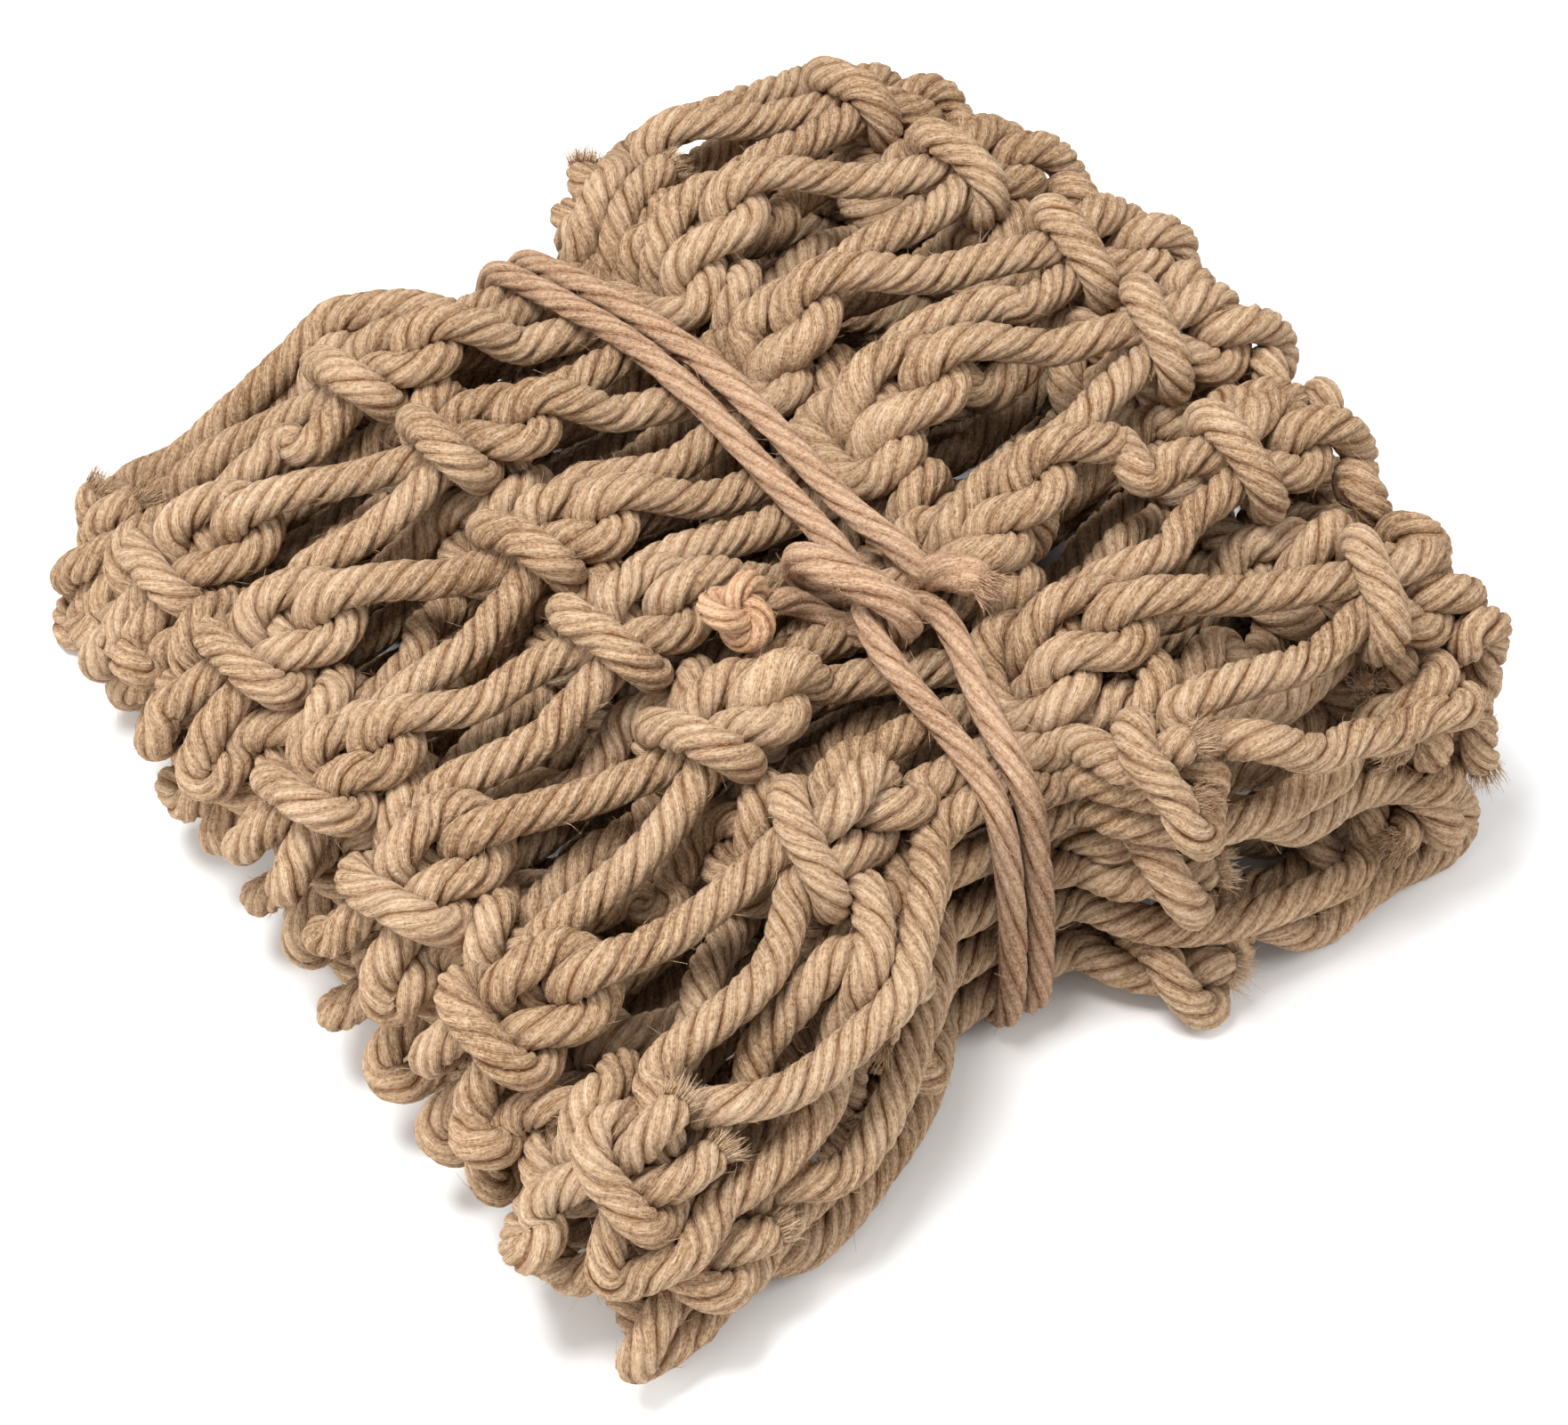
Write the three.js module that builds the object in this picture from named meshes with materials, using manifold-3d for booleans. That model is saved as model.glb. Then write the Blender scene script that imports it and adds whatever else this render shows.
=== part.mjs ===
// A rope hammock put away: a knotted net of twisted rope, folded in a zigzag into a square pack
// and tied round its waist by a thinner cord. Millimetres, +Z up, the tie runs along Y.
import * as THREE from 'three';
import { mergeVertices } from 'three/addons/utils/BufferGeometryUtils.js';
import Module from 'manifold-3d';

const wasm = await Module();
wasm.setup();

// The net
const ROPE_RADIUS = 5;
const ROPE_SIDES = 6;
const LAYERS = 5;
const ROW_X = [-110, -42, 42, 110]; // the knot rows of one layer, measured along the fold direction
const KNOT_PERIOD = 45; // between two knots of a row
const KNOTS_ACROSS = 7; // in the wider rows; the rows between have one fewer
const LEG_OFFSET = KNOT_PERIOD / 4; // a leg's distance from the middle of its knot
const HOOK_LIFT = 5.3; // one cord passes this far over, and its neighbour this far under
const HOOK_REACH = 9; // how far a bight reaches past its knot row
const HOOK_SHOULDER = 7; // half the width of a bight's end
const HOOK_START = 13; // where a leg leaves its knot
const END_TAIL = 12; // how far a cut end sticks out of its knot

// The pack
const LAYER_PITCH = 21.4;
const WAIST_PITCH = 17;
const LAYER_BASE = 9.5; // middle of the lowest layer in the lobes
const WAIST_BASE = 13.3; // middle of the lowest layer under the tie
const FOLD_X = 126; // where a layer stops being flat and folds up into the next
const FOLD_RADIUS = LAYER_PITCH / 2;
const WAIST_FLAT = 13; // half the width of the flat strip that the tie lies on
const WAIST_NARROWING = 0.16; // how much the tie pulls the sides in, as a fraction of the width
const WAIST_REACH = 32;

// The tie
const TIE_RADIUS = 3.5;
const TIE_SIDES = 8;
const TIE_LANE = 7.6; // between neighbouring turns
const TIE_GAP = 0.4;
const KNOT_Y = -2 * 2 * LEG_OFFSET * (1 - WAIST_NARROWING); // halfway between two legs
const COLLAR_WALL = 4;
const COLLAR_LENGTH = 9;
const STOPPER_RADIUS = 7.5;

const RAMP_END = ROW_X[2] - HOOK_START; // where the waist reaches the full thickness of the lobes
const LAYER_LENGTH = 2 * FOLD_X + Math.PI * FOLD_RADIUS;
const ROWS = LAYERS * ROW_X.length;

const ropeMaterial = new THREE.MeshStandardMaterial({ color: 0xb8936b, roughness: 0.95, metalness: 0 });
const tieMaterial = new THREE.MeshStandardMaterial({ color: 0xbd8f6a, roughness: 0.9, metalness: 0 });

// A smooth curve through its points that is sampled exactly at them.
class Route extends THREE.CatmullRomCurve3 {
  getUtoTmapping(u) {
    return u;
  }
}

function roundSection(radius, sides) {
  const corners = [];
  for (let i = 0; i < sides; i++) {
    const angle = (2 * Math.PI * i) / sides;
    corners.push(new THREE.Vector2(radius * Math.cos(angle), radius * Math.sin(angle)));
  }
  return new THREE.Shape(corners);
}

function cordGeometry(points, radius, sides) {
  const route = new Route(points);
  const settings = { steps: points.length - 1, extrudePath: route };
  return new THREE.ExtrudeGeometry(roundSection(radius, sides), settings);
}

function toSolid(geometry) {
  const bare = geometry.clone();
  bare.deleteAttribute('normal');
  bare.deleteAttribute('uv');
  const merged = mergeVertices(bare, 1e-3);
  const vertProperties = merged.attributes.position.array;
  const triVerts = new Uint32Array(merged.index.array);
  return new wasm.Manifold(new wasm.Mesh({ numProp: 3, vertProperties, triVerts }));
}

function toGeometry(solid) {
  const mesh = solid.getMesh();
  const geometry = new THREE.BufferGeometry();
  geometry.setAttribute('position', new THREE.BufferAttribute(mesh.vertProperties, 3));
  geometry.setIndex(new THREE.BufferAttribute(mesh.triVerts, 1));
  geometry.computeVertexNormals();
  return geometry;
}

// How much of the pack's full thickness is left at x: 0 under the tie, 1 in the lobes.
function fullness(x) {
  return THREE.MathUtils.clamp((Math.abs(x) - WAIST_FLAT) / (RAMP_END - WAIST_FLAT), 0, 1);
}

function layerHeight(layer, x) {
  const base = THREE.MathUtils.lerp(WAIST_BASE, LAYER_BASE, fullness(x));
  const pitch = THREE.MathUtils.lerp(WAIST_PITCH, LAYER_PITCH, fullness(x));
  return base + layer * pitch;
}

function sideScale(x) {
  const beyond = Math.max(0, Math.abs(x) - WAIST_FLAT);
  return 1 - WAIST_NARROWING * Math.exp(-((beyond / WAIST_REACH) ** 2));
}

// From the flat net to the folded pack: along is the distance along the net, across its width,
// and lift the height off the middle of the layer.
function place(along, across, lift) {
  const layer = Math.min(LAYERS - 1, Math.max(0, Math.floor(along / LAYER_LENGTH)));
  const side = layer % 2 ? -1 : 1;
  const onLayer = along - layer * LAYER_LENGTH;
  if (onLayer <= 2 * FOLD_X || layer === LAYERS - 1) {
    const x = side * (onLayer - FOLD_X);
    return new THREE.Vector3(x, across * sideScale(x), layerHeight(layer, x) + side * lift);
  }
  const turn = (onLayer - 2 * FOLD_X) / FOLD_RADIUS;
  const radius = FOLD_RADIUS - side * lift;
  const x = side * (FOLD_X + radius * Math.sin(turn));
  const z = layerHeight(layer, FOLD_X) + FOLD_RADIUS - radius * Math.cos(turn);
  return new THREE.Vector3(x, across * sideScale(x), z);
}

function rowAlong(row) {
  return Math.floor(row / ROW_X.length) * LAYER_LENGTH + FOLD_X + ROW_X[row % ROW_X.length];
}

// Extra points where a leg bends between two knot rows: beside the tie, and round each fold.
// Each is a distance along the net and how much of the hook's lift is left there.
function bendsBetween(start, end, rampEnd = WAIST_FLAT) {
  const bends = [];
  for (let layer = 0; layer < LAYERS; layer++) {
    const middle = layer * LAYER_LENGTH + FOLD_X;
    if (rampEnd > WAIST_FLAT) bends.push([middle - rampEnd, 0]);
    bends.push([middle - WAIST_FLAT, 0], [middle + WAIST_FLAT, 0]);
    if (rampEnd > WAIST_FLAT) bends.push([middle + rampEnd, 0]);
    const fold = layer * LAYER_LENGTH + 2 * FOLD_X;
    const halfTurn = Math.PI * FOLD_RADIUS;
    bends.push([fold + 0.12 * halfTurn, 0.9], [fold + 0.5 * halfTurn, 0], [fold + 0.88 * halfTurn, 0.9]);
  }
  return bends.filter(([along]) => along > start && along < end);
}

// One cord of the net: it runs to and fro between two knot rows, hooked at its start row through
// the bights of the cord before it, and holding the next cord's bights at its far row.
function meshCordPoints(row) {
  const wide = row % 2 === 0;
  const knots = wide ? KNOTS_ACROSS : KNOTS_ACROSS - 1;
  const near = rowAlong(row);
  const far = rowAlong(row + 1);
  const points = [];

  const leg = (across, lift, towardsFar) => {
    const bends = bendsBetween(near, far);
    if (!towardsFar) bends.reverse();
    for (const [along, share] of bends) points.push(place(along, across, lift * share));
  };
  const edge = (across, lift) => {
    const last = row + 2 < ROWS ? row + 2 : row + 1;
    const end = rowAlong(last);
    const strand = [];
    for (const [along] of bendsBetween(near, end, RAMP_END)) {
      if (along > near + HOOK_START + 1 && along < end - HOOK_START - 1) {
        strand.push(place(along, across, 0));
      }
    }
    strand.push(place(end - HOOK_START, across, -lift), place(end + END_TAIL, across, -lift));
    return strand;
  };

  for (let knot = 0; knot < knots; knot++) {
    const middle = (knot - (knots - 1) / 2) * KNOT_PERIOD;
    const left = middle - LEG_OFFSET;
    const right = middle + LEG_OFFSET;
    if (knot === 0 && wide) points.push(...edge(left, -HOOK_LIFT).reverse());
    if (knot === 0 && !wide) {
      points.push(place(far + END_TAIL, left, -HOOK_LIFT));
      points.push(place(far - HOOK_START, left, -HOOK_LIFT));
      leg(left, -HOOK_LIFT, false);
    }
    points.push(place(near + HOOK_START, left, -HOOK_LIFT));
    points.push(place(near - HOOK_REACH, middle - HOOK_SHOULDER, -HOOK_LIFT));
    points.push(place(near - HOOK_REACH, middle + HOOK_SHOULDER, HOOK_LIFT));
    points.push(place(near + HOOK_START, right, HOOK_LIFT));
    if (knot === knots - 1) {
      if (wide) {
        points.push(...edge(right, HOOK_LIFT));
      } else {
        leg(right, HOOK_LIFT, true);
        points.push(place(far - HOOK_START, right, HOOK_LIFT));
        points.push(place(far + END_TAIL, right, HOOK_LIFT));
      }
      continue;
    }
    const valley = middle + KNOT_PERIOD / 2;
    leg(right, HOOK_LIFT, true);
    points.push(place(far - HOOK_START, right, HOOK_LIFT));
    points.push(place(far + HOOK_REACH, valley - HOOK_SHOULDER, HOOK_LIFT));
    points.push(place(far + HOOK_REACH, valley + HOOK_SHOULDER, -HOOK_LIFT));
    points.push(place(far - HOOK_START, valley + LEG_OFFSET, -HOOK_LIFT));
    leg(valley + LEG_OFFSET, -HOOK_LIFT, false);
  }
  return points;
}

// The rope is pressed flat where the pack's own weight sets it on the ground.
function flattenAtGround(geometry) {
  const depth = 2 * ROPE_RADIUS;
  const ground = new THREE.BoxGeometry(4 * FOLD_X, 4 * FOLD_X, depth);
  ground.translate(0, 0, -depth / 2);
  return toGeometry(toSolid(geometry).subtract(toSolid(ground)));
}

function meshCord(row) {
  let geometry = cordGeometry(meshCordPoints(row), ROPE_RADIUS, ROPE_SIDES);
  if (row < ROW_X.length) geometry = flattenAtGround(geometry);
  const mesh = new THREE.Mesh(geometry, ropeMaterial);
  mesh.name = `mesh_cord_${String(row + 1).padStart(2, '0')}`;
  return mesh;
}

// The tie cord winds twice round the waist and has both ends under the hitch.
const waistHalfWidth = (KNOTS_ACROSS - 1) * 0.5 * KNOT_PERIOD + LEG_OFFSET;
const cornerLegY = waistHalfWidth * (1 - WAIST_NARROWING);
const lowLegZ = WAIST_BASE;
const highLegZ = WAIST_BASE + (LAYERS - 1) * WAIST_PITCH;
const tieStandoff = ROPE_RADIUS + TIE_RADIUS + TIE_GAP;
const tieTopZ = highLegZ + tieStandoff;
const hitchZ = tieTopZ + COLLAR_WALL + TIE_GAP;

function tieTurn() {
  const section = [
    [KNOT_Y, hitchZ],
    [KNOT_Y - 8, hitchZ],
    [KNOT_Y - 24, tieTopZ],
    [-cornerLegY + 8, tieTopZ],
  ];
  const corners = [
    [-cornerLegY, highLegZ, 90],
    [-cornerLegY, lowLegZ, 180],
    [cornerLegY, lowLegZ, 270],
    [cornerLegY, highLegZ, 360],
  ];
  for (const [y, z, startAngle] of corners) {
    for (const step of [0, 30, 60, 90]) {
      const angle = THREE.MathUtils.degToRad(startAngle + step);
      section.push([y + tieStandoff * Math.cos(angle), z + tieStandoff * Math.sin(angle)]);
    }
  }
  section.push([cornerLegY - 8, tieTopZ], [KNOT_Y + 24, tieTopZ], [KNOT_Y + 8, hitchZ]);
  return section;
}

function tieCord() {
  const turn = tieTurn();
  const points = [];
  for (let lane = -1; lane < 1; lane++) {
    turn.forEach(([y, z], i) => {
      const x = (lane + i / turn.length) * TIE_LANE;
      points.push(new THREE.Vector3(x, y, z));
    });
  }
  points.push(new THREE.Vector3(TIE_LANE, KNOT_Y, hitchZ));
  const mesh = new THREE.Mesh(cordGeometry(points, TIE_RADIUS, TIE_SIDES), tieMaterial);
  mesh.name = 'tie_cord';
  return mesh;
}

// The hitch that holds the turns together, as an oval collar round them.
function tieHitch() {
  const halfWidth = TIE_LANE + TIE_RADIUS + TIE_GAP;
  const halfHeight = TIE_RADIUS + TIE_GAP;
  const oval = (shape, grow) => {
    const radius = halfHeight + grow;
    const centre = halfWidth - halfHeight;
    shape.moveTo(-centre, -radius);
    shape.lineTo(centre, -radius);
    shape.absarc(centre, 0, radius, -Math.PI / 2, Math.PI / 2, false);
    shape.lineTo(-centre, radius);
    shape.absarc(-centre, 0, radius, Math.PI / 2, (3 * Math.PI) / 2, false);
    return shape;
  };
  const outline = oval(new THREE.Shape(), COLLAR_WALL);
  outline.holes.push(oval(new THREE.Path(), 0));
  const settings = { depth: COLLAR_LENGTH, bevelEnabled: false, curveSegments: 6 };
  const geometry = new THREE.ExtrudeGeometry(outline, settings);
  geometry.translate(0, 0, -COLLAR_LENGTH / 2);
  geometry.rotateX(Math.PI / 2);
  const mesh = new THREE.Mesh(geometry, tieMaterial);
  mesh.name = 'tie_hitch';
  mesh.position.set(0, KNOT_Y, hitchZ);
  return mesh;
}

// The free tail of the tie cord, from its swivelling root beside the hitch to the stopper knot.
function tieTail() {
  const collarSide = TIE_LANE + TIE_RADIUS + TIE_GAP + COLLAR_WALL;
  const root = new THREE.Vector3(-collarSide - TIE_GAP - TIE_RADIUS, KNOT_Y, hitchZ);
  const knot = new THREE.Vector3(root.x - 15, KNOT_Y - 2, hitchZ + 11);
  const middle = root.clone().lerp(knot, 0.5);
  const rope = cordGeometry([root, middle, knot], TIE_RADIUS, TIE_SIDES);
  const ball = new THREE.SphereGeometry(TIE_RADIUS, 8, 6);
  ball.translate(root.x, root.y, root.z);
  const stopper = new THREE.SphereGeometry(STOPPER_RADIUS, 12, 8);
  stopper.translate(knot.x, knot.y, knot.z);
  const solid = toSolid(rope).add(toSolid(ball)).add(toSolid(stopper));
  const mesh = new THREE.Mesh(toGeometry(solid), tieMaterial);
  mesh.name = 'tie_tail';
  return mesh;
}

const hammock = new THREE.Group();
for (let row = 0; row < ROWS - 1; row++) hammock.add(meshCord(row));
hammock.add(tieCord(), tieHitch(), tieTail());

export default hammock;
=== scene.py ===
"""A rope hammock put away: a knotted net folded in a zigzag and tied round its waist.

Metres, +Z up. +Y runs along the tie, +X from one lobe to the other.
"""

import math

import bpy
import numpy as np
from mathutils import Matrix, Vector


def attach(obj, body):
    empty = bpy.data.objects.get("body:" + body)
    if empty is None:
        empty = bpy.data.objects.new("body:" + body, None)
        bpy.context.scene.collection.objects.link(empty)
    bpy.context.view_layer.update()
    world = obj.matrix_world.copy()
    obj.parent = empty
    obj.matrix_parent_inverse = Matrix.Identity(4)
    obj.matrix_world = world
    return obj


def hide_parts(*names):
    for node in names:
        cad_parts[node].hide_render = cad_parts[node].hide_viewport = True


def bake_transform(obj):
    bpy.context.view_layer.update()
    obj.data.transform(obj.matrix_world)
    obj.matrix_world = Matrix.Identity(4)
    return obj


# The net's rope and the fold plan, as in the CAD model.
ROPE = 0.010
LAYERS = 5
ROW_X = np.array([-0.110, -0.042, 0.042, 0.110])
PERIOD = 0.045
KNOTS_ACROSS = 7
LAYER_PITCH = 0.0215
WAIST_PITCH = 0.0182
LAYER_BASE = 0.011
WAIST_BASE = 0.0140
FOLD_X = 0.125
WAIST_NARROWING = {-1: 0.20, 1: 0.13}
WAIST_REACH = {(-1, -1): 0.038, (-1, 1): 0.050, (1, -1): 0.021, (1, 1): 0.022}
FOLD_RADIUS = LAYER_PITCH / 2
LAYER_LENGTH = 2 * FOLD_X + math.pi * FOLD_RADIUS
ROWS = LAYERS * len(ROW_X)
RIM_X = 0.117  # where the net's free edge starts to hang over the top rim
RIM_RADIUS = 0.011
SPREAD = 0.1505  # the furthest a rope's middle gets from the tie
HEM_ALONG = 0.043  # from the last row of knots to the loops of the hem

# The tie cord.
TIE = 0.0072
TIE_LAY = 0.062
BAND = 0.0092  # the tie's end is slack and thicker where it's hitched
KNOT_Y = -0.045
TIE_BOW = 0.010  # how far the tie strays towards +X on its way over the top
LEFT_LANE, LEFT_SPREAD = -0.0025, -0.001  # where a turn lies along x, and how far it swings out in front
RIGHT_LANE, RIGHT_SPREAD = 0.0060, 0.0100
CROSSING = 0.0185  # how far the first turn crosses over to the second's lane
HITCH_DIP = 0.0075  # how deep the turns are pressed down under the hitch
STOPPER_ROPE = 0.0064  # the cord's diameter where it's drawn tight in the stopper knot

# Places on top where the rope has opened and fluffed up.
WORN_PLACES = [
    (-0.030, -0.062, 0.096),
    (0.030, 0.040, 0.098),
    (0.034, 0.004, 0.099),
    (0.031, -0.051, 0.104),
]

# How the ropes are drawn: strands, twist length, points round a section, spacing of the sections.
STRANDS = 3
ROPE_LAY = 0.029
STOPPER_LAY = 0.030
SIDES = 24
ROPE_RINGS = 0.0013
TIE_RINGS = 0.0012
STOPPER_RINGS = 0.0008

# Loose fibres, on the rope and at its cut ends.
HAIR_LEVELS = np.array([0.0, 0.5, 1.0])
HAIR_RADIUS = 0.0001
BRUSH_HAIRS = 260
BRUSH_RADIUS = 0.00015

# Settling: the spacing of the ropes' points, and what happens to them in each round.
STEP = 0.0042
ROUNDS = 260
TOUCH = 0.95 * ROPE  # ropes nearer than this push each other apart
TIGHTEST = 1.62 * STEP  # the least distance between a point and the next but one
MOMENTUM = 0.75
TOP_SPEED = 0.0006
SINK = 0.00003
HOME_PULL = 0.03
STRAIGHTEN = 0.06
PUSH = 0.35
LARGEST_PUSH = 0.0012

# The tie's grip: half the waist's length on each side along y, and the height of its top.
WAIST_HALF_Y = {-1: 0.1130, 1: 0.1265}
WAIST_TOP = 0.0895

SEED = 36

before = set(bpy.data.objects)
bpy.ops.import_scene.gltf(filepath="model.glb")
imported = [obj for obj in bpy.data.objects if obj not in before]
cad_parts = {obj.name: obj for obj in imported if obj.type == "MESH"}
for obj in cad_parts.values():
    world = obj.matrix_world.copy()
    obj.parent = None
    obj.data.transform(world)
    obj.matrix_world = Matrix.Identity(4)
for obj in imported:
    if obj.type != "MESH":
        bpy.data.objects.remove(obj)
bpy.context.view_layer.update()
rng = np.random.default_rng(SEED)


# ---------------------------------------------------------------- the folded net

def smooth_step(value, low, high):
    t = np.clip((value - low) / (high - low), 0, 1)
    return t * t * (3 - 2 * t)


def fullness(x):
    """0 under the tie, 1 in the lobes."""
    return smooth_step(np.abs(x), 0.006, 0.040)


def tie_shift(y, z):
    """How far along x the tie has strayed from the middle of the pack."""
    on_top = smooth_step(z, 0.045, 0.080)
    return TIE_BOW * on_top * smooth_step(y, -0.060, -0.034) * (1 - smooth_step(y, 0.03, 0.125))


def layer_height(layer, x):
    full = fullness(x)
    base = WAIST_BASE + (LAYER_BASE - WAIST_BASE) * full
    pitch = WAIST_PITCH + (LAYER_PITCH - WAIST_PITCH) * full
    return base + layer * pitch


def side_scale(x, y):
    beyond = np.maximum(0, np.abs(x) - 0.008)
    left = np.where(y < 0, WAIST_REACH[-1, -1], WAIST_REACH[-1, 1])
    right = np.where(y < 0, WAIST_REACH[1, -1], WAIST_REACH[1, 1])
    reach = np.where(x < 0, left, right)
    narrowing = np.where(y < 0, WAIST_NARROWING[-1], WAIST_NARROWING[1])
    return 1 - narrowing * np.exp(-((beyond / reach) ** 2))


def place(net):
    """From the flat net (along, across, lift) to the folded pack (x, y, z)."""
    along, across, lift = net[:, 0], net[:, 1], net[:, 2]
    layer = np.clip(np.floor(along / LAYER_LENGTH), 0, LAYERS - 1)
    side = np.where(layer % 2 == 1, -1.0, 1.0)
    on_layer = along - layer * LAYER_LENGTH
    flat = (on_layer <= 2 * FOLD_X) | (layer == LAYERS - 1)
    x_flat = side * (on_layer - FOLD_X)
    z_flat = layer_height(layer, x_flat) + side * lift
    turn = (on_layer - 2 * FOLD_X) / FOLD_RADIUS
    radius = FOLD_RADIUS - side * lift
    x_fold = side * (FOLD_X + radius * np.sin(turn))
    z_fold = layer_height(layer, np.full_like(along, FOLD_X)) + FOLD_RADIUS - radius * np.cos(turn)
    x = np.where(flat, x_flat, x_fold)
    z = np.where(flat, z_flat, z_fold)
    past = on_layer - FOLD_X - RIM_X
    hem = (layer == LAYERS - 1) & (past > 0)
    angle = np.clip(past / RIM_RADIUS, 0, math.pi / 2)
    down = np.maximum(0, past - RIM_RADIUS * math.pi / 2)
    reach = RIM_RADIUS + lift
    rim = layer_height(LAYERS - 1, FOLD_X)
    x = np.where(hem, RIM_X + reach * np.sin(angle), x)
    z = np.where(hem, rim - RIM_RADIUS + reach * np.cos(angle) - down, z)
    return np.stack([x, across * side_scale(x, across), z], axis=1)


# How the four corners of the soft pack differ: how far each spreads along x and along y, how much
# of its height it loses, and how far its underside is tucked in.
CORNERS = {
    (-1, -1): (0.04, 0.06, 0.06, 0.0),
    (-1, 1): (0.00, -0.08, 0.50, 0.15),
    (1, -1): (-0.01, -0.07, 0.10, 0.0),
    (1, 1): (0.03, -0.05, 0.15, 0.0),
}
BULGE = {-1: 0.10, 1: 0.12}
LOBE_HEIGHT = {-1: -0.20, 1: 0.11}
RIM_DROOP_X = 0.20
RIM_DROOP_Y = 0.23


def plump(points):
    """Rounds the square stack into a soft bundle: bulging lobes, a drooping rim, uneven corners."""
    x, y, z = points.T
    u, v = x / 0.14, y / 0.15
    wide, tall = np.ones_like(x), np.ones_like(x)
    long = np.ones_like(x)
    for side in (-1, 1):
        lobe = smooth_step(side * x, 0, 0.12)
        wide += BULGE[side] * lobe * (1 - np.clip(v * v, 0, 1))
        tall += LOBE_HEIGHT[side] * lobe
    tall -= RIM_DROOP_X * np.clip(np.abs(u), 0, 1) ** 5 + RIM_DROOP_Y * np.clip(np.abs(v), 0, 1) ** 5
    for (side_x, side_y), (out_x, out_y, lost, tucked) in CORNERS.items():
        corner = np.clip(side_x * u, 0, 1.2) ** 2 * np.clip(side_y * v, 0, 1.2) ** 2
        wide += (out_x - tucked * np.clip(1 - z / 0.06, 0, 1)) * corner
        long += out_y * corner
        tall -= lost * corner
    return np.stack([x * wide, y * long, z * tall], axis=1)


def row_along(row):
    if row == ROWS:
        return row_along(ROWS - 1) + HEM_ALONG
    return (row // len(ROW_X)) * LAYER_LENGTH + FOLD_X + ROW_X[row % len(ROW_X)]


def knots_in(row):
    return KNOTS_ACROSS if row % 2 == 0 else KNOTS_ACROSS - 1


# A sheet bend, in rope diameters: across, along and off the net. The bight comes from the row
# before. The working cord rises behind it, through it, round behind both its legs and under itself.
BIGHT = np.array([
    (-1.05, -3.0, 0.0), (-0.75, -1.9, 0.0), (-0.55, -1.0, 0.0), (-0.62, -0.2, 0.0), (-0.85, 0.5, 0.0),
    (-0.62, 1.25, 0.0), (0.0, 1.6, 0.0), (0.62, 1.25, 0.0), (0.85, 0.5, 0.0), (0.62, -0.2, 0.0),
    (0.55, -1.0, 0.0), (0.75, -1.9, 0.0), (1.05, -3.0, 0.0),
])
WORKING = np.array([
    (-1.05, 3.2, 0.0), (-0.85, 2.3, -0.6), (-0.35, 1.45, -1.0), (0.0, 0.75, -0.45), (0.1, 0.35, 0.75),
    (0.35, -0.15, 1.35), (0.85, -0.65, 0.95), (1.4, -0.95, 0.0), (0.6, -1.0, -0.95), (-0.6, -0.9, -0.95),
    (-1.4, -0.6, 0.0), (-0.8, -0.15, 0.95), (0.0, 0.0, 0.5), (0.8, 0.15, 0.95), (1.4, 0.7, 0.5),
    (1.3, 1.7, 0.1), (1.05, 3.2, 0.0),
])
KNOT_FACE = -1.0


def make_knots():
    knots = {}
    for row in range(ROWS + 1):
        count = knots_in(row)
        for k in range(count):
            middle = (k - (count - 1) / 2) * PERIOD
            knots[row, k] = {
                "along": row_along(row) + rng.uniform(-0.006, 0.006),
                "across": middle + rng.uniform(-0.006, 0.006),
                "lift": rng.uniform(-0.002, 0.002),
                "roll": math.radians(np.clip(rng.normal(0, 24), -40, 40)),
                "yaw": math.radians(np.clip(rng.normal(0, 12), -20, 20)),
            }
    return knots


def knot_points(knot, shape):
    """Control points of a shape tied at a knot, in net coordinates."""
    a, b, c = (shape * ROPE).T
    c = c * KNOT_FACE
    roll, yaw = knot["roll"], knot["yaw"]
    spread = np.exp(-((b / (2.2 * ROPE)) ** 2))
    a2 = a * np.cos(roll * spread) - c * np.sin(roll * spread)
    c2 = a * np.sin(roll * spread) + c * np.cos(roll * spread)
    a3 = a2 * np.cos(yaw * spread) - b * np.sin(yaw * spread)
    b3 = a2 * np.sin(yaw * spread) + b * np.cos(yaw * spread)
    return np.stack([knot["along"] + b3, knot["across"] + a3, knot["lift"] + c2], axis=1)


def slack(start, end, count=1):
    """Loose points part of the way along a leg."""
    points = []
    for i in range(count):
        t = (i + 1) / (count + 1)
        middle = start * (1 - t) + end * t
        points.append(middle + rng.uniform(-1, 1, 3) * (0, 0.0032, 0.003))
    return np.array(points)


def net_cord(row, knots):
    """One cord's control points in net coordinates, from its first cut end to its last."""
    wide = row % 2 == 0
    count = knots_in(row)
    parts = []
    left_half, right_half = BIGHT[:6], BIGHT[7:]
    edge_row = row + 2 if wide else row + 1
    for k in range(count):
        tied = knot_points(knots[row, k], WORKING)
        if k == 0:
            if edge_row <= ROWS:
                half = right_half if not wide else left_half[::-1]
                start = knot_points(knots[edge_row, 0], half)
            else:
                start = tied[:1] + np.array([[0.012, 0.0, 0.0], [0.006, 0.0, 0.0]])
            parts += [start, slack(start[-1], tied[0], 3 if wide else 1)]
        parts.append(tied)
        if k < count - 1:
            bight = knot_points(knots[row + 1, k if wide else k + 1], BIGHT)
            parts += [slack(tied[-1], bight[0]), bight]
            following = knot_points(knots[row, k + 1], WORKING)
            parts.append(slack(bight[-1], following[0]))
        else:
            if edge_row <= ROWS:
                half = right_half[::-1] if wide else left_half
                finish = knot_points(knots[edge_row, knots_in(edge_row) - 1], half)
            else:
                finish = tied[-1:] + np.array([[0.006, 0.0, 0.0], [0.012, 0.0, 0.0]])
            parts += [slack(tied[-1], finish[0], 3 if wide else 1), finish]
    return np.concatenate(parts)


# ---------------------------------------------------------------- curves

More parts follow.
